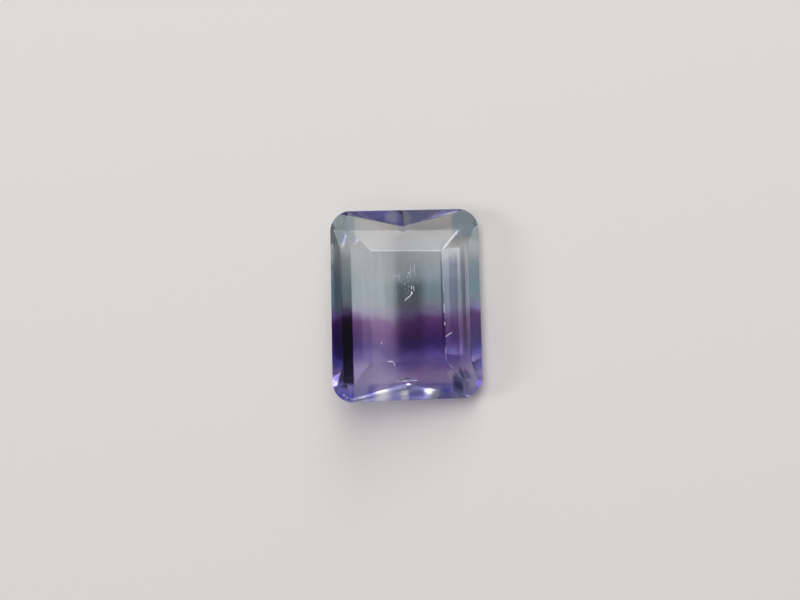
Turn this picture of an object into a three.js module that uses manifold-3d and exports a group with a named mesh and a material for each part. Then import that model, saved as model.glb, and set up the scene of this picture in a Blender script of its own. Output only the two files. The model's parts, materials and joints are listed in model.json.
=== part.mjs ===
// A faceted fluorite gemstone: a rectangular step cut with rounded corners.
// It is one crystal, so it is one solid. It is cut here as a lapidary cuts it: a flat block with the
// outline of the girdle is made first, and each facet is then ground away by one flat lap.
// The stone is cut with its table up, and then laid on the long facet that a loose stone comes to rest on.
import * as THREE from 'three';
import { mergeVertices } from 'three/addons/utils/BufferGeometryUtils.js';
import Module from 'manifold-3d';

// Driving dimensions, in millimetres
const WIDTH = 8.0;
const LENGTH = 10.2;
const CORNER_RADIUS = 1.08;
const GIRDLE_THICKNESS = 0.3;
const TABLE_WIDTH = 3.9;
const TABLE_LENGTH = 5.9;
const OUTER_BAND = 1.08; // plan width of the crown step beside the girdle
const CROWN_STEP_RISE = 0.5; // from the line where the two crown steps meet up to the table
const PAVILION_BAND = 1.0; // plan width of the steep pavilion step under the long sides
const KEEL_LENGTH = 6.96;

// Facet angles, in degrees from the plane of the girdle
const CROWN_ANGLE = 42;
const CROWN_CORNER_ANGLE = 47;
const PAVILION_BAND_ANGLE = 44;
const PAVILION_MAIN_ANGLE = 17.2;
const PAVILION_CORNER_ANGLE = 26;

// How far each facet of this hand-cut stone is turned from square, in degrees, anticlockwise from above
const SKEW = {
  girdle: { right: 0.2, far: -0.3, left: -0.7, near: 0.7 },
  outerCrown: { right: 0.9, far: -1.3, left: 0.2, near: 0.4 },
  innerCrown: { right: 1.1, far: -1.3, left: -0.5, near: -0.5 },
};

const ARC_SEGMENTS = 8; // straight steps in each rounded corner of the girdle
const LAP_SIZE = 40; // larger than the stone, so that one lap reaches across a whole facet

// Heights above the middle of the girdle
const GIRDLE_TOP = GIRDLE_THICKNESS / 2;
const GIRDLE_BOTTOM = -GIRDLE_TOP;
const STEP_HEIGHT = GIRDLE_TOP + OUTER_BAND * slope(CROWN_ANGLE);
const TABLE_HEIGHT = STEP_HEIGHT + CROWN_STEP_RISE;
const KEEL_HEIGHT =
  GIRDLE_BOTTOM -
  PAVILION_BAND * slope(PAVILION_BAND_ANGLE) -
  (WIDTH / 2 - PAVILION_BAND) * slope(PAVILION_MAIN_ANGLE);

// The four sides in order round the stone, each with the way it faces and how far out it lies
const SIDES = [
  { name: 'right', facing: 0, reach: WIDTH / 2, tableReach: TABLE_WIDTH / 2 },
  { name: 'far', facing: 90, reach: LENGTH / 2, tableReach: TABLE_LENGTH / 2 },
  { name: 'left', facing: 180, reach: WIDTH / 2, tableReach: TABLE_WIDTH / 2 },
  { name: 'near', facing: 270, reach: LENGTH / 2, tableReach: TABLE_LENGTH / 2 },
];

const wasm = await Module();
wasm.setup();

function slope(degrees) {
  return Math.tan(THREE.MathUtils.degToRad(degrees));
}

// A unit vector in the plane of the girdle, from an angle in degrees
function heading(degrees) {
  const angle = THREE.MathUtils.degToRad(degrees);
  return new THREE.Vector2(Math.cos(angle), Math.sin(angle));
}

// A point at a given height, some way out from the stone's axis
function pointOut(facing, reach, height) {
  const flat = heading(facing).multiplyScalar(reach);
  return new THREE.Vector3(flat.x, flat.y, height);
}

// Where two lines in the plane cross, each given by its facing angle and its distance from the axis
function crossing(facingA, reachA, facingB, reachB) {
  const a = heading(facingA);
  const b = heading(facingB);
  const across = a.cross(b);
  return new THREE.Vector2((reachA * b.y - reachB * a.y) / across, (a.x * reachB - b.x * reachA) / across);
}

// A closed three.js geometry as a solid that can be cut
function solidFrom(geometry) {
  const bare = geometry.clone();
  bare.deleteAttribute('normal');
  bare.deleteAttribute('uv');
  const merged = mergeVertices(bare);
  return new wasm.Manifold(
    new wasm.Mesh({
      numProp: 3,
      vertProperties: merged.attributes.position.array,
      triVerts: new Uint32Array(merged.index.array),
    }),
  );
}

// A cut solid as a three.js geometry with flat facets
function geometryFrom(solid) {
  const mesh = solid.getMesh();
  const indexed = new THREE.BufferGeometry();
  indexed.setAttribute('position', new THREE.BufferAttribute(mesh.vertProperties, mesh.numProp));
  indexed.setIndex(new THREE.BufferAttribute(mesh.triVerts, 1));
  const faceted = indexed.toNonIndexed();
  faceted.computeVertexNormals();
  return faceted;
}

// The girdle's outline: four nearly square sides joined by round corners
function girdleOutline() {
  const outline = new THREE.Shape();
  SIDES.forEach((side, i) => {
    const next = SIDES[(i + 1) % SIDES.length];
    const facing = side.facing + SKEW.girdle[side.name];
    const nextFacing = next.facing + SKEW.girdle[next.name];
    const centre = crossing(facing, side.reach - CORNER_RADIUS, nextFacing, next.reach - CORNER_RADIUS);
    outline.absarc(
      centre.x,
      centre.y,
      CORNER_RADIUS,
      THREE.MathUtils.degToRad(facing),
      THREE.MathUtils.degToRad(nextFacing),
    );
  });
  outline.closePath();
  return outline;
}

// The block that the facets are cut from, with the girdle's outline all the way up
function roughBlock() {
  const block = new THREE.ExtrudeGeometry(girdleOutline(), {
    depth: TABLE_HEIGHT - KEEL_HEIGHT,
    curveSegments: ARC_SEGMENTS,
    bevelEnabled: false,
  });
  block.translate(0, 0, KEEL_HEIGHT);
  return solidFrom(block);
}

// The flat lap that grinds one facet: a slab whose near face lies on the facet's plane
function lap(facet) {
  const up = facet.crown ? 1 : -1;
  const lean = THREE.MathUtils.degToRad(facet.angle);
  const flat = heading(facet.facing).multiplyScalar(Math.sin(lean));
  const normal = new THREE.Vector3(flat.x, flat.y, up * Math.cos(lean));
  const slab = new THREE.BoxGeometry(LAP_SIZE, LAP_SIZE, LAP_SIZE);
  slab.translate(0, 0, LAP_SIZE / 2);
  slab.applyQuaternion(new THREE.Quaternion().setFromUnitVectors(new THREE.Vector3(0, 0, 1), normal));
  slab.translate(facet.through.x, facet.through.y, facet.through.z);
  return solidFrom(slab);
}

// The crown step beside the girdle, with one facet for each side and one for each rounded corner
function outerCrownFacets() {
  return SIDES.flatMap((side, i) => {
    const next = SIDES[(i + 1) % SIDES.length];
    const corner = crossing(side.facing, side.reach - OUTER_BAND, next.facing, next.reach - OUTER_BAND);
    return [
      {
        crown: true,
        facing: side.facing + SKEW.outerCrown[side.name],
        angle: CROWN_ANGLE,
        through: pointOut(side.facing, side.reach - OUTER_BAND, STEP_HEIGHT),
      },
      {
        crown: true,
        facing: side.facing + 45,
        angle: CROWN_CORNER_ANGLE,
        through: new THREE.Vector3(corner.x, corner.y, STEP_HEIGHT),
      },
    ];
  });
}

// The crown step beside the table, mitred at its corners
function innerCrownFacets() {
  return SIDES.map((side) => {
    const run = side.reach - OUTER_BAND - side.tableReach;
    return {
      crown: true,
      facing: side.facing + SKEW.innerCrown[side.name],
      angle: THREE.MathUtils.radToDeg(Math.atan2(CROWN_STEP_RISE, run)),
      through: pointOut(side.facing, side.tableReach, TABLE_HEIGHT),
    };
  });
}

// The two steps under each long side: a steep one below the girdle and the main facet down to the keel
function sidePavilionFacets() {
  return SIDES.filter((side) => side.facing % 180 === 0).flatMap((side) => [
    {
      facing: side.facing,
      angle: PAVILION_BAND_ANGLE,
      through: pointOut(side.facing, side.reach, GIRDLE_BOTTOM),
    },
    {
      facing: side.facing,
      angle: PAVILION_MAIN_ANGLE,
      through: new THREE.Vector3(0, 0, KEEL_HEIGHT),
    },
  ]);
}

// The steep facet under each short end, from the girdle down to the end of the keel
function endPavilionFacets() {
  return SIDES.filter((side) => side.facing % 180 !== 0).map((side) => {
    const run = side.reach - KEEL_LENGTH / 2;
    return {
      facing: side.facing,
      angle: THREE.MathUtils.radToDeg(Math.atan2(GIRDLE_BOTTOM - KEEL_HEIGHT, run)),
      through: pointOut(side.facing, side.reach, GIRDLE_BOTTOM),
    };
  });
}

// The facet under each rounded corner, which runs down to the nearer end of the keel
function cornerPavilionFacets() {
  return SIDES.map((side) => {
    const facing = side.facing + 45;
    const end = Math.sign(heading(facing).y) * (KEEL_LENGTH / 2);
    return {
      facing,
      angle: PAVILION_CORNER_ANGLE,
      through: new THREE.Vector3(0, end, KEEL_HEIGHT),
    };
  });
}

const facets = [
  ...outerCrownFacets(),
  ...innerCrownFacets(),
  ...sidePavilionFacets(),
  ...endPavilionFacets(),
  ...cornerPavilionFacets(),
];
const cutStone = facets.reduce((stone, facet) => stone.subtract(lap(facet)), roughBlock());

const fluorite = new THREE.MeshStandardMaterial({
  name: 'fluorite',
  color: 0x8f86b0,
  roughness: 0.05,
  metalness: 0,
  transparent: true,
  opacity: 0.6,
});
const stone = new THREE.Mesh(geometryFrom(cutStone), fluorite);
stone.name = 'stone';

// The stone is turned about its length until the main facet of its right side lies flat
stone.rotation.y = THREE.MathUtils.degToRad(PAVILION_MAIN_ANGLE);

// The table then faces up and to the front, with the keel along X
const turned = new THREE.Group();
turned.rotation.z = -Math.PI / 2;
turned.add(stone);

// The origin is on the surface the stone lies on, under the middle of its bounding box
const gemstone = new THREE.Group();
gemstone.name = 'gemstone';
gemstone.add(turned);
const box = new THREE.Box3().setFromObject(gemstone, true);
const middle = box.getCenter(new THREE.Vector3());
turned.position.set(-middle.x, -middle.y, -box.min.z);

export default gemstone;
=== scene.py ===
"""The looks of a loose, step-cut fluorite gemstone that lies on one long facet of its pavilion."""

import json
import logging
import math
import random
from dataclasses import dataclass
from enum import Enum
from itertools import chain

import bmesh
import bpy
from mathutils import Matrix, Vector
from mathutils.bvhtree import BVHTree


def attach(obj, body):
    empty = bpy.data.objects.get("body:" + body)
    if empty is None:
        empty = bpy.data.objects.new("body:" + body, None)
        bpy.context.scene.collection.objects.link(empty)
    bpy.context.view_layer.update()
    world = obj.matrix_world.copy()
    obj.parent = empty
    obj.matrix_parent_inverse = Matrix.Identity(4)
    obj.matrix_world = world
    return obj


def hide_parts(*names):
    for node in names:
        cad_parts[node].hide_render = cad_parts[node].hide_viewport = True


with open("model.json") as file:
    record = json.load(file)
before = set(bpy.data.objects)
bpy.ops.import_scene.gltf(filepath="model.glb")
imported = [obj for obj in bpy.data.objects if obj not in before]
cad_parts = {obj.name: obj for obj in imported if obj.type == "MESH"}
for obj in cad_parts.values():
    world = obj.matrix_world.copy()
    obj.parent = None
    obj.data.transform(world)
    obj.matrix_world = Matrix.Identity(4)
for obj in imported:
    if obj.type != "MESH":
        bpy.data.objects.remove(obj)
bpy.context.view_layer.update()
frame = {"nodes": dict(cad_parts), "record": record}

log = logging.getLogger("gemstone")

MM = 0.001
BODY = "root"
STONE_NODE = "stone"

# Distance in millimetres, and the hex colour or the share there
Stops = tuple[tuple[float, str | float], ...]


def linear(hex_colour: str) -> tuple[float, float, float, float]:
    """Turn an sRGB hex colour into linear light.

    Args:
        hex_colour: Six hex digits, such as "9cb1bb".

    Returns:
        Linear red, green, blue and an alpha of 1.
    """
    parts = [int(hex_colour[i : i + 2], 16) / 255 for i in (0, 2, 4)]
    light = [c / 12.92 if c <= 0.04045 else ((c + 0.055) / 1.055) ** 2.4 for c in parts]
    return (*light, 1.0)


def add_node(
    tree: bpy.types.NodeTree, kind: str, links: dict | None = None, values: dict | None = None, **settings
) -> bpy.types.Node:
    """Add one node to a tree with its settings, plain input values and incoming links.

    Args:
        tree: The tree that the node goes into.
        kind: The node's type name.
        links: Input name or number to the output socket that feeds it.
        values: Input name or number to a plain value.
        **settings: The node's own properties.

    Returns:
        The new node.
    """
    node = tree.nodes.new(kind)
    for name, value in settings.items():
        setattr(node, name, value)
    for key, value in (values or {}).items():
        node.inputs[key].default_value = value
    for key, socket in (links or {}).items():
        tree.links.new(socket, node.inputs[key])
    return node


@dataclass(frozen=True)
class CutFrame:
    """The directions that a cutter names a stone by, as they lie in the row frame.

    Attributes:
        table_centre: The middle of the table.
        across: The way the stone's right side faces.
        along: The way the stone's grey-green end points.
        out: The way the table faces.
    """

    table_centre: Vector
    across: Vector
    along: Vector
    out: Vector

    @classmethod
    def from_record(cls, record: dict) -> "CutFrame":
        """Read the cut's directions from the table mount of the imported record.

        Args:
            record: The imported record.

        Returns:
            The cut frame.
        """
        table = next(m for m in record["mounts"] if m["name"] == "table")
        out = Vector(table["axis"]).normalized()
        along = Vector((1.0, 0.0, 0.0))
        return cls(Vector(table["pos_m"]), along.cross(out), along, out)

    def place(self, across_mm: float, along_mm: float, out_mm: float = 0.0) -> Vector:
        """Return the row-frame point at these distances from the middle of the table."""
        step = self.across * across_mm + self.along * along_mm + self.out * out_mm
        return self.table_centre + step * MM


def profile(
    tree: bpy.types.NodeTree, distance: bpy.types.NodeSocket, stops: Stops
) -> bpy.types.NodeSocket:
    """Turn a distance into a colour or a share that changes smoothly between set places.

    Args:
        tree: The material's tree.
        distance: The distance in millimetres.
        stops: Distance in millimetres and the hex colour or the share there, in rising order.

    Returns:
        The socket of the colour or the share.
    """
    first, last = stops[0][0], stops[-1][0]
    share = add_node(tree, "ShaderNodeMapRange", {"Value": distance}, {"From Min": first, "From Max": last})
    ramp = add_node(tree, "ShaderNodeValToRGB", {"Fac": share.outputs["Result"]})
    ramp.color_ramp.interpolation = "EASE"
    places = ramp.color_ramp.elements
    for distance_mm, _ in stops[1:-1]:
        places.new((distance_mm - first) / (last - first))
    for place, (_, level) in zip(places, stops, strict=True):
        place.color = linear(level) if isinstance(level, str) else (level, level, level, 1.0)
    return ramp.outputs["Color"]


class Blend(Enum):
    """How a patch meets the tint that is already there."""

    TINTS = "MULTIPLY"
    COVERS = "MIX"


@dataclass(frozen=True)
class PaintedPatch:
    """A place of painted shade, which makes the stone's tint deeper, or of painted highlight, which makes
    it paler.

    Attributes:
        colour: The colour of the painted shade or painted highlight.
        across: Distance across the stone in millimetres, and the share of the patch felt there.
        along: Distance along the stone in millimetres, and the share of the patch felt there.
        blend: How the patch meets the stone's own tint.
        slant: How far the patch falls along the stone for each step across it.
    """

    colour: str
    across: Stops
    along: Stops
    blend: Blend = Blend.TINTS
    slant: float = 0.0

    def lay(
        self,
        tree: bpy.types.NodeTree,
        tint: bpy.types.NodeSocket,
        across: bpy.types.NodeSocket,
        along: bpy.types.NodeSocket,
    ) -> bpy.types.NodeSocket:
        """Add the nodes that lay the patch over a tint.

        Args:
            tree: The material's tree.
            tint: The tint so far.
            across: Distance across the stone in millimetres.
            along: Distance along the stone in millimetres.

        Returns:
            The socket of the new tint.
        """
        slanted = add_node(
            tree, "ShaderNodeMath", {0: across, 2: along}, {1: self.slant}, operation="MULTIPLY_ADD"
        )
        share = add_node(
            tree,
            "ShaderNodeMath",
            {0: profile(tree, across, self.across), 1: profile(tree, slanted.outputs[0], self.along)},
            operation="MULTIPLY",
        )
        laid = add_node(
            tree,
            "ShaderNodeMixRGB",
            {"Fac": share.outputs[0], "Color1": tint},
            {"Color2": linear(self.colour)},
            blend_type=self.blend.value,
        )
        return laid.outputs["Color"]


@dataclass(frozen=True)
class Fluorite:
    """Fluorite: clear and low in lustre for a gem, with colour zones across the stone's length.

    Its tint also carries painted shade, painted highlights and a painted reflection.

    Attributes:
        name: The material's name.
        polish: Roughness of the surface.
        clearness: Share of the light that goes into the stone and isn't scattered at its surface.
        ior: Fluorite's refractive index.
        haze: Colour that the body leaves in white light.
        haze_density: Strength of that absorption, per metre.
        zone_tilt: How far the zones lean, as a rise along the stone for each step across it.
        zone_waver_mm: How far the borders of the zones wander.
        zone_wave_mm: How long the waves of the borders are.
        zone_detail: How many finer waves lie on those.
        zone_bend_mm: How far the borders bend along the stone where they bend most.
        zone_bend: Distance across the stone in millimetres, and the share of that bend there.
        zones: Distance along the stone from the table's middle in millimetres, and the tint there.
        painted_patches: Places of painted shade and painted highlights, where the tint is deeper or paler.
        deepest_path_shade: How many times deeper the painted shade makes the tint where the light's way
            through the stone is longest.
        path: Distance across the stone in millimetres, and the share of that longest path, and so of the
            painted shade, there.
        path_shade_ends: Distance along the stone in millimetres, and how much of the path, and so of the
            painted shade, is felt there.
        painted_reflection: Distance across the stone in millimetres, and the colour of the painted
            reflection, the V that the facets under the far end throw up.
        painted_reflection_foot_mm: Where the foot of that V lies along the stone.
        painted_reflection_spread: How far its side runs along the stone for each step across it.
        painted_reflection_edge_mm: Width of its soft edge.
        dull: Distance along the stone in millimetres, and the roughness there, which is greater at the less
            polished end.
        cloud_mm: Size of the faint clouds in the body.
        cloud_detail: How many finer clouds lie in those.
        streak_mm: Width and length of the fine streaks that polishing left.
        streak_detail: How many finer streaks lie in those.
        faint_range: Sum of the two noises where clouds and streaks are strongest, and where they end.
        faint: Share of light that the clouds and the streaks leave where they are strongest.
    """

    name: str = "polished_fluorite"
    polish: float = 0.02
    clearness: float = 0.97
    ior: float = 1.434
    haze: str = "d0d0dc"
    haze_density: float = 5.0
    zone_tilt: float = 0.04
    zone_waver_mm: float = 0.8
    zone_wave_mm: float = 1.7
    zone_detail: float = 4.0
    zone_bend_mm: float = 0.6
    zone_bend: Stops = (
        (-4.0, 0.1),
        (-3.4, 0.1),
        (-2.6, 0.6),
        (-1.8, 0.45),
        (-0.85, 0.1),
        (0.2, 0.45),
        (1.3, 0.7),
        (2.4, 0.55),
        (3.0, 0.4),
        (3.6, 0.9),
        (4.0, 1.0),
    )
    zones: Stops = (
        (-5.1, "c8c4fa"),
        (-4.7, "e0dcff"),
        (-4.2, "e8e2ff"),
        (-3.6, "eee2ff"),
        (-3.1, "d2ccfa"),
        (-2.55, "b8aae0"),
        (-1.9, "c6a8dc"),
        (-1.1, "d6b4e2"),
        (-0.55, "eeeaff"),
        (-0.15, "f6faff"),
        (0.4, "ecfcff"),
        (1.2, "eef8fd"),
        (2.4, "f4f8f9"),
        (3.4, "f6f7f5"),
        (4.0, "fbfaf4"),
        (5.1, "fbfaf4"),
    )
    painted_patches: tuple[PaintedPatch, ...] = (
        # Painted shade: the dark heart of the table, right of the keel
        PaintedPatch(
            "a8a8ac",
            ((-1.4, 0.0), (-0.8, 0.3), (-0.3, 1.0), (0.6, 1.0), (1.2, 0.5), (2.7, 0.4), (2.76, 0.0)),
            (
                (-3.6, 0.0),
                (-2.8, 0.4),
                (-1.9, 0.75),
                (-0.6, 0.75),
                (0.1, 1.0),
                (0.9, 1.0),
                (1.7, 0.4),
                (3.4, 0.0),
            ),
        ),
        # Painted shade: the dark strip on the left, where the facets turn the light back
        PaintedPatch(
            "06060a",
            ((-3.5, 0.0), (-3.4, 1.0), (-2.94, 1.0), (-2.88, 0.0)),
            ((-4.3, 0.0), (-4.0, 1.0), (-0.9, 1.0), (-0.3, 0.94), (0.5, 0.85), (2.4, 0.7), (3.6, 0.0)),
        ),
        # Painted shade on the violet part of the inner step on the left
        PaintedPatch(
            "c8c4d4",
            ((-2.9, 0.0), (-2.86, 1.0), (-2.0, 0.8), (-1.94, 0.0)),
            ((-3.4, 0.0), (-2.6, 1.0), (-1.0, 1.0), (-0.2, 0.0)),
        ),
        # Painted shade on the far corner on the left
        PaintedPatch(
            "d4e8f4",
            ((-4.0, 1.0), (-2.75, 1.0), (-2.55, 0.0)),
            ((3.2, 0.0), (3.7, 1.0)),
        ),
        # Painted shade on the far corner on the right
        PaintedPatch(
            "ccdce8",
            ((2.5, 0.0), (2.7, 1.0), (4.0, 1.0)),
            ((3.3, 0.0), (3.8, 1.0)),
        ),
        # Painted shade on the inner step on the right
        PaintedPatch(
            "b8b8c8",
            ((1.93, 0.0), (1.97, 1.0), (2.7, 1.0), (2.76, 0.0)),
            ((-2.6, 0.0), (-1.6, 1.0), (2.0, 1.0), (3.2, 0.0)),
        ),
        # Painted shade on the near end of the table, right of the keel
        PaintedPatch(
            "eae4e0",
            ((-1.8, 0.0), (-0.4, 0.6), (0.6, 1.0), (2.2, 1.0), (2.7, 0.8), (3.0, 0.0)),
            ((-4.3, 0.0), (-3.9, 1.0), (-3.2, 1.0), (-2.6, 0.0)),
        ),
        # Painted shade on the outer step on the right
        PaintedPatch(
            "d8e2ea",
            ((3.1, 0.0), (3.3, 1.0), (4.0, 1.0)),
            ((-4.0, 0.0), (-3.0, 1.0), (2.0, 1.0), (3.0, 0.0)),
        ),
        # Painted shade: the corner facet that shows dark through the near right mitre
        PaintedPatch(
            "3c4a80",
            ((2.35, 0.0), (2.5, 1.0), (2.85, 1.0), (3.15, 0.0)),
            ((-2.75, 0.0), (-2.45, 1.0), (-1.75, 0.9), (-1.5, 0.0)),
            slant=0.74,
        ),
        # Painted shade on the grey-green part of the outer step on the left
        PaintedPatch(
            "9098a4",
            ((-4.0, 1.0), (-3.5, 1.0), (-3.4, 0.0)),
            ((-0.6, 0.0), (0.0, 1.0), (1.6, 0.9), (3.4, 0.0)),
        ),
        # Painted shade in the V at the near end, and three painted highlights in it
        PaintedPatch(
            "9292d8",
            ((-2.4, 0.0), (-2.0, 1.0), (2.2, 1.0), (2.5, 0.0)),
            ((-5.1, 1.0), (-4.25, 1.0), (-4.0, 0.0)),
        ),
        PaintedPatch(
            "ffffff",
            ((-1.95, 0.0), (-1.5, 1.0), (-1.3, 1.0), (-0.85, 0.0)),
            ((-5.1, 0.5), (-4.6, 1.0), (-4.2, 0.3), (-3.9, 0.0)),
            Blend.COVERS,
        ),
        PaintedPatch(
            "ffffff",
            ((-0.5, 0.0), (-0.2, 0.8), (0.1, 0.0)),
            ((-5.1, 0.8), (-4.7, 1.0), (-4.3, 0.0)),
            Blend.COVERS,
        ),
        PaintedPatch(
            "ffffff",
            ((0.75, 0.0), (1.2, 1.0), (1.4, 1.0), (1.85, 0.0)),
            ((-5.1, 0.5), (-4.6, 1.0), (-4.2, 0.0)),
            Blend.COVERS,
        ),
    )
    # Painted shade: the tint is made deeper where the light's way through the stone is long
    deepest_path_shade: float = 10.0
    path: Stops = (
        (-4.0, 0.75),
        (-3.5, 0.75),
        (-3.4, 0.6),
        (-2.94, 0.6),
        (-2.88, 0.08),
        (-1.95, 0.06),
        (-1.85, 0.0),
        (-1.0, 0.0),
        (0.0, 0.1),
        (1.9, 0.1),
        (2.72, 0.06),
        (2.78, 0.0),
        (4.0, 0.0),
    )
    path_shade_ends: Stops = (
        (-5.1, 0.3),
        (-3.6, 0.55),
        (-2.6, 0.8),
        (-1.9, 1.0),
        (-0.5, 1.0),
        (0.1, 0.5),
        (2.8, 0.2),
        (5.1, 0.2),
    )
    # Painted reflection: the V at the far end, which the facets under it throw up
    painted_reflection: Stops = ((-0.1, "5c5e8a"), (0.05, "e0e2ff"))
    painted_reflection_foot_mm: float = 4.17
    painted_reflection_spread: float = 0.235
    painted_reflection_edge_mm: float = 0.06
    dull: Stops = ((-5.1, 0.12), (-3.75, 0.12), (-3.5, 0.02))
    cloud_mm: float = 0.7
    cloud_detail: float = 3.0
    streak_mm: tuple[float, float] = (0.13, 2.5)
    streak_detail: float = 2.0
    faint_range: tuple[float, float] = (0.6, 1.2)
    faint: float = 0.88

    def build(self, cut: CutFrame) -> bpy.types.Material:
        """Make the material.

        Args:
            cut: The stone's directions, which the zones follow.

        Returns:
            The fluorite material.
        """
        material = bpy.data.materials.new(self.name)
        material.use_nodes = True
        tree = material.node_tree
        tree.nodes.clear()
        across, along = self.steps(tree, cut)
        rough = add_node(
            tree,
            "ShaderNodeMath",
            {0: profile(tree, along, self.dull)},
            {1: self.polish},
            operation="MAXIMUM",
        )
        glass = add_node(
            tree,
            "ShaderNodeBsdfPrincipled",
            {"Base Color": self.tint(tree, cut, across, along), "Roughness": rough.outputs[0]},
            {"IOR": self.ior, "Transmission Weight": self.clearness},
        )
        body = add_node(
            tree,
            "ShaderNodeVolumeAbsorption",
            values={"Color": linear(self.haze), "Density": self.haze_density},
        )
        add_node(
            tree,
            "ShaderNodeOutputMaterial",
            {"Surface": glass.outputs["BSDF"], "Volume": body.outputs["Volume"]},
        )
        return material

    def steps(
        self, tree: bpy.types.NodeTree, cut: CutFrame
    ) -> tuple[bpy.types.NodeSocket, bpy.types.NodeSocket]:
        """Add the nodes that measure from the middle of the table.

        Args:
            tree: The material's tree.
            cut: The stone's directions.

        Returns:
            The sockets of the distance across the stone and along it, in millimetres.
        """
        where = add_node(tree, "ShaderNodeTexCoord").outputs["Object"]
        offset = add_node(
            tree, "ShaderNodeVectorMath", {0: where}, {1: cut.table_centre}, operation="SUBTRACT"
        ).outputs[0]
        across, along = (
            add_node(
                tree, "ShaderNodeVectorMath", {0: offset}, {1: way / MM}, operation="DOT_PRODUCT"
            ).outputs["Value"]
            for way in (cut.across, cut.along)
        )
        return across, along

    def tint(
        self,
        tree: bpy.types.NodeTree,
        cut: CutFrame,
        across: bpy.types.NodeSocket,
        along: bpy.types.NodeSocket,
    ) -> bpy.types.NodeSocket:
        """Add the nodes of the stone's colour, with its painted shade, painted highlights and painted
        reflection.

        Args:
            tree: The material's tree.
            cut: The stone's directions.
            across: Distance across the stone in millimetres.
            along: Distance along the stone in millimetres.

        Returns:
            The colour's socket.
        """
        # Zone colour, painted shade where the way through the stone is long, patches of painted shade and
        # painted highlight, the painted reflection at the far end, then faint clouds
        colour = self.paint_path_shade(tree, self.zone_colour(tree, across, along), across, along)
        for patch in self.painted_patches:
            colour = patch.lay(tree, colour, across, along)
        clouded = add_node(
            tree,
            "ShaderNodeMixRGB",
            {"Color1": self.add_painted_reflection(tree, colour, across, along), "Color2": self.clouds(tree, cut)},
            {"Fac": 1.0},
            blend_type="MULTIPLY",
        )
        return clouded.outputs["Color"]

    def zone_colour(
        self, tree: bpy.types.NodeTree, across: bpy.types.NodeSocket, along: bpy.types.NodeSocket
    ) -> bpy.types.NodeSocket:
        """Add the nodes of the colour zones, which lean, bend and have wavering borders.

        Args:
            tree: The material's tree.
            across: Distance across the stone in millimetres.
            along: Distance along the stone in millimetres.

        Returns:
            The colour's socket.
        """
        leaning = add_node(
            tree, "ShaderNodeMath", {0: across, 2: along}, {1: self.zone_tilt}, operation="MULTIPLY_ADD"
        )
        where = add_node(tree, "ShaderNodeTexCoord").outputs["Object"]
        noise = add_node(
            tree,
            "ShaderNodeTexNoise",
            {"Vector": where},
            {"Scale": 1 / (self.zone_wave_mm * MM), "Detail": self.zone_detail},
        )
        waver = add_node(
            tree,
            "ShaderNodeMapRange",
            {"Value": noise.outputs["Fac"]},
            {"To Min": -self.zone_waver_mm, "To Max": self.zone_waver_mm},
        )
        wavering = add_node(
            tree, "ShaderNodeMath", {0: leaning.outputs[0], 1: waver.outputs["Result"]}, operation="ADD"
        )
        bent = add_node(
            tree,
            "ShaderNodeMath",
            {0: profile(tree, across, self.zone_bend), 2: wavering.outputs[0]},
            {1: -self.zone_bend_mm},
            operation="MULTIPLY_ADD",
        )
        return profile(tree, bent.outputs[0], self.zones)

    def paint_path_shade(
        self,
        tree: bpy.types.NodeTree,
        colour: bpy.types.NodeSocket,
        across: bpy.types.NodeSocket,
        along: bpy.types.NodeSocket,
    ) -> bpy.types.NodeSocket:
        """Add the nodes of painted shade, which make a colour deeper where the light's way through the
        stone is long.

        Args:
            tree: The material's tree.
            colour: The colour of a short way.
            across: Distance across the stone in millimetres.
            along: Distance along the stone in millimetres.

        Returns:
            The socket of the deeper colour.
        """
        felt = add_node(
            tree,
            "ShaderNodeMixRGB",
            {"Color1": profile(tree, across, self.path), "Color2": profile(tree, along, self.path_shade_ends)},
            {"Fac": 1.0},
            blend_type="MULTIPLY",
        )
        length = add_node(
            tree,
            "ShaderNodeMapRange",
            {"Value": felt.outputs["Color"]},
            {"To Min": 1.0, "To Max": self.deepest_path_shade},
        )
        path_shaded = add_node(tree, "ShaderNodeGamma", {"Color": colour, "Gamma": length.outputs["Result"]})
        return path_shaded.outputs["Color"]

    def add_painted_reflection(
        self,
        tree: bpy.types.NodeTree,
        colour: bpy.types.NodeSocket,
        across: bpy.types.NodeSocket,
        along: bpy.types.NodeSocket,
    ) -> bpy.types.NodeSocket:
        """Add the nodes of the painted reflection, a V at the far end.

        Args:
            tree: The material's tree.
            colour: The colour round the V.
            across: Distance across the stone in millimetres.
            along: Distance along the stone in millimetres.

        Returns:
            The socket of the colour with the V.
        """
        aside = add_node(tree, "ShaderNodeMath", {0: across}, operation="ABSOLUTE")
        past = add_node(
            tree,
            "ShaderNodeMath",
            {0: aside.outputs[0], 2: along},
            {1: -self.painted_reflection_spread},
            operation="MULTIPLY_ADD",
        )
        edge = ((self.painted_reflection_foot_mm, 0.0), (self.painted_reflection_foot_mm + self.painted_reflection_edge_mm, 1.0))
        with_painted_reflection = add_node(
            tree,
            "ShaderNodeMixRGB",
            {
                "Fac": profile(tree, past.outputs[0], edge),
                "Color1": colour,
                "Color2": profile(tree, across, self.painted_reflection),
            },
        )
        return with_painted_reflection.outputs["Color"]

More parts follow.
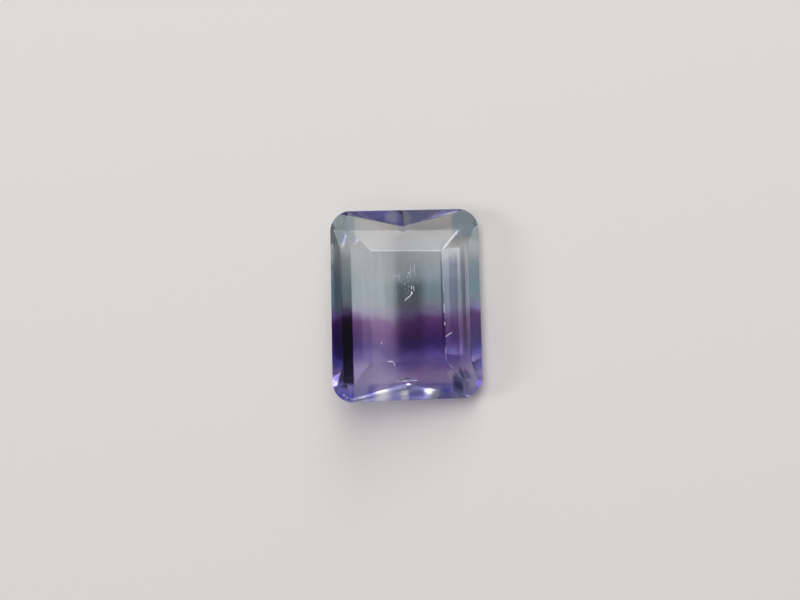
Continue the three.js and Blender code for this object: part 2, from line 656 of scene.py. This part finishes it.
    def clouds(self, tree: bpy.types.NodeTree, cut: CutFrame) -> bpy.types.NodeSocket:
        """Add the nodes of the faint clouds and of the fine streaks that run along the stone.

        Args:
            tree: The material's tree.
            cut: The stone's directions.

        Returns:
            The socket of the share of light that they leave.
        """
        where = add_node(tree, "ShaderNodeTexCoord").outputs["Object"]
        width, length = (size * MM for size in self.streak_mm)
        parts = [
            add_node(
                tree, "ShaderNodeVectorMath", {0: where}, {1: way}, operation="DOT_PRODUCT"
            ).outputs["Value"]
            for way in (cut.across / width, cut.along / length, cut.out / length)
        ]
        stretched = add_node(tree, "ShaderNodeCombineXYZ", dict(enumerate(parts)))
        streaks = add_node(
            tree,
            "ShaderNodeTexNoise",
            {"Vector": stretched.outputs[0]},
            {"Scale": 1.0, "Detail": self.streak_detail},
        )
        clouds = add_node(
            tree,
            "ShaderNodeTexNoise",
            {"Vector": where},
            {"Scale": 1 / (self.cloud_mm * MM), "Detail": self.cloud_detail},
        )
        both = add_node(
            tree,
            "ShaderNodeMath",
            {0: streaks.outputs["Fac"], 1: clouds.outputs["Fac"]},
            operation="ADD",
        )
        strongest, end = self.faint_range
        left = add_node(
            tree,
            "ShaderNodeMapRange",
            {"Value": both.outputs[0]},
            {"From Min": strongest, "From Max": end, "To Min": self.faint, "To Max": 1.0},
        )
        return left.outputs["Result"]


@dataclass(frozen=True)
class CrushedFluorite:
    """Fluorite crushed to fine splinters, which scatter the light and look white.

    Attributes:
        name: The material's name.
        bright: Its colour where a splinter catches the light.
        shade: Its colour between the splinters.
        splinter_mm: Size of the splinters.
        roughness: Roughness of the surface.
    """

    name: str = "crushed_fluorite"
    bright: str = "ffffff"
    shade: str = "ececf6"
    splinter_mm: float = 0.03
    roughness: float = 0.6

    def build(self, cut: CutFrame) -> bpy.types.Material:
        """Make the material.

        Args:
            cut: Not used, as the splinters don't follow the stone's directions.

        Returns:
            The white material.
        """
        material = bpy.data.materials.new(self.name)
        material.use_nodes = True
        tree = material.node_tree
        tree.nodes.clear()
        where = add_node(tree, "ShaderNodeTexCoord").outputs["Object"]
        splinters = add_node(
            tree, "ShaderNodeTexNoise", {"Vector": where}, {"Scale": 1 / (self.splinter_mm * MM)}
        )
        colour = add_node(
            tree,
            "ShaderNodeMixRGB",
            {"Fac": splinters.outputs["Fac"]},
            {"Color1": linear(self.shade), "Color2": linear(self.bright)},
        )
        powder = add_node(
            tree,
            "ShaderNodeBsdfPrincipled",
            {"Base Color": colour.outputs["Color"]},
            {"Roughness": self.roughness},
        )
        add_node(tree, "ShaderNodeOutputMaterial", {"Surface": powder.outputs["BSDF"]})
        return material


class Surface(Enum):
    """The finishes of the stone, in the order of its material slots."""

    POLISHED = Fluorite()
    WORN = Fluorite(name="worn_fluorite", polish=0.4, clearness=0.2)
    CRUSHED = CrushedFluorite()


@dataclass
class Stone:
    """The cut stone, with the fine wear that its facet edges have.

    Attributes:
        cut: The stone's directions.
        weld_mm: Corners that lie closer than this are one corner.
        flat_deg: Faces that turn less than this belong to one facet.
        crown_wear_mm: Width of the worn line along each edge of the crown and the girdle.
        pavilion_wear_mm: Width of the line along each edge under the girdle, which nothing rubs.
        upright: A face whose normal leans this little out of the girdle's plane belongs to the girdle.
    """

    cut: CutFrame
    weld_mm: float = 0.0005
    flat_deg: float = 0.4
    crown_wear_mm: float = 0.04
    pavilion_wear_mm: float = 0.01
    upright: float = 0.05

    def build(self) -> bpy.types.Object:
        """Model the stone, dress it and let it stand for the cut solid.

        Returns:
            The stone's object.
        """
        mesh = self.model()
        stone = bpy.data.objects.new("gemstone", mesh)
        bpy.context.scene.collection.objects.link(stone)
        for surface in Surface:
            mesh.materials.append(surface.value.build(self.cut))
        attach(stone, BODY)
        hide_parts(STONE_NODE)
        return stone

    def model(self) -> bpy.types.Mesh:
        """Merge a copy of the cut solid into whole facets and wear their edges.

        Returns:
            The stone's mesh.
        """
        shape = bmesh.new()
        shape.from_mesh(frame["nodes"][STONE_NODE].data)
        bmesh.ops.remove_doubles(shape, verts=shape.verts, dist=self.weld_mm * MM)
        bmesh.ops.dissolve_limit(
            shape, angle_limit=math.radians(self.flat_deg), verts=shape.verts, edges=shape.edges
        )
        log.info("facets %d, edges %d, corners %d", len(shape.faces), len(shape.edges), len(shape.verts))
        self.wear(shape, [e for e in shape.edges if self.under(e)], self.pavilion_wear_mm, Surface.POLISHED)
        self.wear(shape, [e for e in shape.edges if self.rubbed(e)], self.crown_wear_mm, Surface.WORN)
        mesh = bpy.data.meshes.new("gemstone")
        shape.to_mesh(mesh)
        shape.free()
        return mesh

    def under(self, edge: bmesh.types.BMEdge) -> bool:
        """Tell whether both facets beside an edge belong to the pavilion."""
        return all(face.normal.dot(self.cut.out) < -self.upright for face in edge.link_faces)

    def rubbed(self, edge: bmesh.types.BMEdge) -> bool:
        """Tell whether an edge bounds the crown or the girdle, without the flats of one round corner."""
        tops = [face.normal.dot(self.cut.out) for face in edge.link_faces]
        return max(tops) > self.upright or min(tops) < -self.upright < max(tops)

    def wear(
        self, shape: bmesh.types.BMesh, edges: list[bmesh.types.BMEdge], width_mm: float, surface: Surface
    ) -> None:
        """Round off edges.

        Args:
            shape: The stone.
            edges: The edges to wear.
            width_mm: How wide the worn line is.
            surface: The finish that the worn line gets.
        """
        worn = bmesh.ops.bevel(
            shape,
            geom=edges,
            offset=width_mm * MM / 2,
            offset_type="OFFSET",
            segments=1,
            profile=0.5,
            affect="EDGES",
            clamp_overlap=True,
            material=-1,
        )
        for face in worn["faces"]:
            face.material_index = list(Surface).index(surface)


@dataclass(frozen=True)
class Mark:
    """One scratch or bruise, seen from above the table.

    Attributes:
        points: Where it runs, in millimetres across and along the stone from the table's middle.
        width_mm: How wide it is.
        ragged: How much its sides wander, as a share of its width.
        step_mm: Length of each stretch of it.
    """

    points: tuple[tuple[float, float], ...]
    width_mm: float = 0.03
    ragged: float = 0.5
    step_mm: float = 0.05


@dataclass
class WearMarks:
    """The scratches and bruises that lie on the crown.

    Attributes:
        cut: The stone's directions.
        stone: The stone that they lie on.
        marks: The single marks.
        fleck_count: How many short flecks lie round the longest scratch.
        fleck_area: Where they lie, in millimetres across from and to, and along from and to.
        fleck_mm: Length and width of the longest fleck.
        fleck_share: Size of the smallest and of the longest fleck, as shares of that.
        fleck_lean: How far a fleck goes across the stone at most, for each step along it.
        tip: Width of a mark's two tips, as a share of its own.
        lift_mm: How far a mark lies above the facet.
        search_mm: How far above the table the search for the facet starts.
        seed: Seed of the wandering sides.
    """

    cut: CutFrame
    stone: bpy.types.Object
    marks: tuple[Mark, ...] = (
        # The long scratch on the table
        Mark(
            (
                (-0.11, 0.29),
                (-0.07, 0.38),
                (0.02, 0.46),
                (0.13, 0.52),
                (0.21, 0.6),
                (0.24, 0.69),
                (0.22, 0.8),
            ),
            0.038,
        ),
        Mark(((0.25, 0.89), (0.25, 1.0), (0.26, 1.11)), 0.035),
        Mark(((0.38, 0.81), (0.37, 0.94), (0.36, 1.09)), 0.03),
        Mark(((0.23, 0.8), (0.27, 0.72), (0.32, 0.62)), 0.04),
        Mark(((0.2, 1.5), (0.2, 1.82), (0.22, 2.14)), 0.014),
        Mark(((0.44, 1.71), (0.43, 1.97), (0.46, 2.24)), 0.014),
        Mark(((-0.41, 1.52), (-0.44, 1.68)), 0.025),
        Mark(((-0.66, 1.55), (-0.6, 1.63)), 0.03),
        Mark(((0.05, 1.48), (0.06, 1.62)), 0.02),
        # Single nicks and scratches nearer to the violet end
        Mark(((-1.42, -1.96), (-1.4, -1.85)), 0.05),
        Mark(((-1.21, -1.95), (-1.22, -1.89)), 0.03),
        Mark(((1.74, -0.39), (1.77, -0.34)), 0.05),
        Mark(((-1.1, -2.9), (-0.93, -2.88), (-0.81, -2.93), (-0.76, -3.03), (-0.75, -3.19)), 0.035),
        Mark(((1.96, -1.67), (2.15, -1.56), (2.36, -1.44)), 0.025),
        # The bruised mitre at the far right
        Mark(((1.9, 2.91), (2.13, 3.17), (2.37, 3.43), (2.6, 3.69), (2.84, 3.95)), 0.1, 1.0, 0.13),
        Mark(((2.06, 3.02), (2.11, 3.2)), 0.05, 0.9),
        Mark(((2.24, 3.36), (2.36, 3.36)), 0.05, 0.9),
        Mark(((2.5, 3.66), (2.58, 3.62)), 0.06, 0.9),
        Mark(((2.7, 3.72), (2.86, 3.98)), 0.08, 0.9),
        # The rubbed far and right edges of the table, and the mitre at the near right
        Mark(((-1.9, 2.993), (0.0, 2.95), (1.0, 2.927)), 0.022, 0.9),
        Mark(((1.0, 2.927), (1.89, 2.907)), 0.045, 0.8),
        Mark(((1.9, 2.75), (1.91, 2.2)), 0.012, 0.9, 0.12),
        Mark(((1.925, 1.4), (1.94, 0.6)), 0.01, 0.9, 0.12),
        Mark(((1.948, 0.13), (1.955, -0.4)), 0.03, 0.6),
        Mark(((1.966, -0.85), (1.97, -1.04)), 0.05, 0.6),
        Mark(((1.98, -2.1), (1.99, -2.9)), 0.01, 0.9, 0.12),
        Mark(((1.99, -2.95), (2.4, -3.4), (2.9, -3.95)), 0.008, 0.9, 0.12),
        # The bruised corner at the near left
        Mark(((-3.5, -4.68), (-3.4, -4.76)), 0.06, 0.9),
        Mark(((-3.36, -4.82), (-3.24, -4.87)), 0.06, 0.9),
        Mark(((-3.14, -4.9), (-3.06, -4.91)), 0.04, 0.9),
    )
    fleck_count: int = 26
    fleck_area: tuple[float, float, float, float] = (-0.8, 0.7, 0.5, 2.0)
    fleck_mm: tuple[float, float] = (0.14, 0.022)
    fleck_share: tuple[float, float] = (0.4, 1.0)
    fleck_lean: float = 0.6
    tip: float = 0.1
    lift_mm: float = 0.001
    search_mm: float = 1.0
    seed: int = 3

    def build(self) -> bpy.types.Object:
        """Model the marks as one thin mesh on the crown.

        Returns:
            The marks' object.
        """
        chance = random.Random(self.seed)
        skin = BVHTree.FromPolygons(
            [v.co for v in self.stone.data.vertices], [p.vertices for p in self.stone.data.polygons]
        )
        shape = bmesh.new()
        for mark in (*self.marks, *self.flecks(chance)):
            self.lay(shape, skin, mark, chance)
        mesh = bpy.data.meshes.new("wear_marks")
        shape.to_mesh(mesh)
        shape.free()
        marks = bpy.data.objects.new("wear_marks", mesh)
        bpy.context.scene.collection.objects.link(marks)
        mesh.materials.append(bpy.data.materials[Surface.CRUSHED.value.name])
        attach(marks, BODY)
        return marks

    def flecks(self, chance: random.Random) -> list[Mark]:
        """Scatter short flecks round the longest scratch.

        Args:
            chance: Source of their places.

        Returns:
            The flecks.
        """
        left, right, near, far = self.fleck_area
        made: list[Mark] = []
        for _ in range(self.fleck_count):
            start = Vector((chance.triangular(left, right), chance.triangular(near, far)))
            length, width = (size * chance.uniform(*self.fleck_share) for size in self.fleck_mm)
            way = Vector((chance.uniform(-self.fleck_lean, self.fleck_lean), 1.0)).normalized()
            made.append(Mark((tuple(start), tuple(start + way * length)), width))
        return made

    def lay(self, shape: bmesh.types.BMesh, skin: BVHTree, mark: Mark, chance: random.Random) -> None:
        """Lay one mark on the stone as a narrow grid, with its two sides and its middle line.

        Args:
            shape: The mesh that the grid goes into.
            skin: The stone's surface.
            mark: The mark.
            chance: Source of its wandering sides.
        """
        route = [Vector(point) for point in mark.points]
        rows: list[list[Vector]] = []
        for start, end in zip(route, route[1:]):
            way = (end - start).normalized()
            side = Vector((-way.y, way.x))
            count = max(1, round((end - start).length / mark.step_mm))
            for i in range(count + (end is route[-1])):
                middle = start.lerp(end, i / count)
                at_tip = not rows or i == count
                right, left = (
                    mark.width_mm / 2 * (self.tip if at_tip else 1 + mark.ragged * chance.uniform(-1, 1))
                    for _ in range(2)
                )
                rows.append([middle + side * left, middle, middle - side * right])
        grid = bmesh.ops.create_grid(
            shape, x_segments=len(rows[0]) - 1, y_segments=len(rows) - 1, size=mark.width_mm * MM
        )
        for vert, spot in zip(grid["verts"], chain(*rows), strict=True):
            vert.co = self.on_stone(skin, spot)

    def on_stone(self, skin: BVHTree, spot: Vector) -> Vector:
        """Find the point of the crown that lies under a place in the table's plane.

        Args:
            skin: The stone's surface.
            spot: The place, in millimetres across and along the stone.

        Returns:
            The point just above the facet there.
        """
        start = self.cut.place(spot.x, spot.y, self.search_mm)
        hit, normal, _, _ = skin.ray_cast(start, -self.cut.out)
        return hit + normal * self.lift_mm * MM


@dataclass(frozen=True)
class PaleFloor:
    """The plain pale surface that the stone lies on.

    Attributes:
        size_mm: Its width.
        gap_mm: How far it lies under the stone, so that the two surfaces don't share a plane.
        colour: Its colour.
        roughness: Roughness of the surface.
        gloss: Strength of its reflection.
    """

    size_mm: float = 4000.0
    gap_mm: float = 0.03
    colour: str = "dedad8"
    roughness: float = 0.9
    gloss: float = 0.2

    def build(self) -> bpy.types.Object:
        """Model and dress the floor.

        Returns:
            The floor's object.
        """
        shape = bmesh.new()
        bmesh.ops.create_grid(shape, x_segments=1, y_segments=1, size=self.size_mm * MM / 2)
        bmesh.ops.translate(shape, verts=shape.verts, vec=(0.0, 0.0, -self.gap_mm * MM))
        mesh = bpy.data.meshes.new("floor")
        shape.to_mesh(mesh)
        shape.free()
        floor = bpy.data.objects.new("floor", mesh)
        bpy.context.scene.collection.objects.link(floor)
        material = bpy.data.materials.new("pale_floor")
        material.use_nodes = True
        principled = material.node_tree.nodes["Principled BSDF"]
        principled.inputs["Base Color"].default_value = linear(self.colour)
        principled.inputs["Roughness"].default_value = self.roughness
        principled.inputs["Specular IOR Level"].default_value = self.gloss
        mesh.materials.append(material)
        return floor


@dataclass(frozen=True)
class SoftBox:
    """One soft studio lamp that faces the stone.

    Attributes:
        name: The lamp's name.
        azimuth_deg: Where it stands round the stone, with 0 in front and 90 to the right.
        elevation_deg: How high it stands above the floor.
        size_mm: Its width.
        power_w: Its power.
        distance_mm: How far away it stands.
        spread_deg: How wide its beam opens.
        aim_mm: The height on the stone that it faces.
    """

    name: str
    azimuth_deg: float
    elevation_deg: float
    size_mm: float
    power_w: float
    distance_mm: float = 400.0
    spread_deg: float = 180.0
    aim_mm: float = 2.5

    def build(self) -> bpy.types.Object:
        """Make the lamp and turn it to the stone.

        Returns:
            The lamp's object.
        """
        turn, rise = math.radians(self.azimuth_deg), math.radians(self.elevation_deg)
        way = Vector((math.sin(turn) * math.cos(rise), -math.cos(turn) * math.cos(rise), math.sin(rise)))
        lamp = bpy.data.lights.new(self.name, "AREA")
        lamp.shape = "DISK"
        lamp.size = self.size_mm * MM
        lamp.energy = self.power_w
        lamp.spread = math.radians(self.spread_deg)
        made = bpy.data.objects.new(self.name, lamp)
        made.location = way * self.distance_mm * MM
        back = made.location - Vector((0.0, 0.0, self.aim_mm * MM))
        made.rotation_euler = back.to_track_quat("Z", "Y").to_euler()
        bpy.context.scene.collection.objects.link(made)
        return made


@dataclass(frozen=True)
class Studio:
    """The soft light, the dim room and the camera.

    Attributes:
        cut: The stone's directions, which the camera faces.
        boxes: The lamps.
        room_light: Brightness of the room around the lamps.
        room_colour: Its colour.
        bounces: How many times the light may turn, in all and inside the stone.
        mirror_bounces: How many of those may be reflections.
        camera_distance_mm: From the lens to the middle of the stone.
        px_per_mm: Scale of the picture at the girdle.
        girdle_below_table_mm: How far the girdle lies under the table.
        stone_px: Where the middle of the stone falls in the picture.
        picture_px: The picture's size.
        sensor_mm: Width of the camera's sensor.
        near_mm: Nothing closer to the lens than this is drawn.
        turn_deg: How far the stone is turned anticlockwise in the picture.
        lean_deg: How far the camera leans to the stone's left and to its far end.
    """

    cut: CutFrame
    boxes: tuple[SoftBox, ...] = (
        # The main light, and light on the floor under the raised side of the stone
        SoftBox("key_box", 75.0, 65.0, 300.0, 0.9),
        SoftBox("side_box", 180.0, 38.0, 120.0, 0.33),
        # Light in the crown
        SoftBox("far_panel", 78.0, 32.0, 200.0, 0.45),
        SoftBox("back_panel", 185.0, 62.0, 340.0, 0.08),
        # Gleams at the violet end
        SoftBox("over_lamp", 285.0, 77.0, 60.0, 0.053),
        SoftBox("end_lamp", 64.0, 16.0, 50.0, 0.02),
        SoftBox("end_panel", 103.0, 6.0, 60.0, 0.055),
        SoftBox("pin_lamp", 78.2, 2.6, 1.6, 1.5e-6, distance_mm=18.0, spread_deg=30.0),
    )
    room_light: float = 0.18
    room_colour: str = "f4f4f6"
    bounces: int = 24
    mirror_bounces: int = 16
    camera_distance_mm: float = 120.0
    px_per_mm: float = 18.63
    girdle_below_table_mm: float = 1.62
    stone_px: tuple[float, float] = (405.8, 305.4)
    picture_px: tuple[float, float] = (800.0, 600.0)
    sensor_mm: float = 36.0
    near_mm: float = 1.0
    turn_deg: float = 1.5
    lean_deg: tuple[float, float] = (2.5, 2.0)

    def build(self) -> None:
        """Make the lamps, the room and the camera."""
        for box in self.boxes:
            box.build()
        room = bpy.data.worlds.new("room")
        room.use_nodes = True
        background = room.node_tree.nodes["Background"]
        background.inputs["Color"].default_value = linear(self.room_colour)
        background.inputs["Strength"].default_value = self.room_light
        scene = bpy.context.scene
        scene.world = room
        scene.view_settings.view_transform = "Standard"
        scene.cycles.max_bounces = self.bounces
        scene.cycles.glossy_bounces = self.mirror_bounces
        scene.cycles.transmission_bounces = self.bounces
        scene.camera = self.camera()

    def camera(self) -> bpy.types.Object:
        """Make the camera, nearly square to the table and with the photograph's framing.

        Returns:
            The camera's object.
        """
        cut = self.cut
        left, far = (math.tan(math.radians(a)) for a in self.lean_deg)
        back = (cut.out - cut.across * left + cut.along * far).normalized()
        turn = Matrix.Rotation(-math.radians(self.turn_deg), 3, back)
        up = turn @ (cut.along - back * cut.along.dot(back)).normalized()
        right = up.cross(back)
        lens = bpy.data.cameras.new("camera")
        lens.sensor_width = self.sensor_mm
        lens.lens = self.px_per_mm * self.sensor_mm * self.camera_distance_mm / self.picture_px[0]
        lens.clip_start = self.near_mm * MM
        middle = cut.place(0.0, 0.0, -self.girdle_below_table_mm)
        off_right = (self.stone_px[0] - self.picture_px[0] / 2) / self.px_per_mm * MM
        off_down = (self.stone_px[1] - self.picture_px[1] / 2) / self.px_per_mm * MM
        target = middle - right * off_right + up * off_down
        camera = bpy.data.objects.new("camera", lens)
        turned = Matrix((right, up, back)).transposed().to_4x4()
        camera.matrix_world = Matrix.Translation(target + back * self.camera_distance_mm * MM) @ turned
        bpy.context.scene.collection.objects.link(camera)
        return camera


def main() -> None:
    """Build the stone, the floor and the studio, and report each piece."""
    logging.basicConfig(level=logging.INFO, format="%(name)s: %(message)s")
    cut = CutFrame.from_record(frame["record"])
    stone = Stone(cut).build()
    log.info("%s has %d faces", stone.name, len(stone.data.polygons))
    marks = WearMarks(cut, stone).build()
    log.info("%s has %d faces", marks.name, len(marks.data.polygons))
    floor = PaleFloor().build()
    log.info("%s is laid", floor.name)
    Studio(cut).build()


if __name__ == "__main__":
    main()
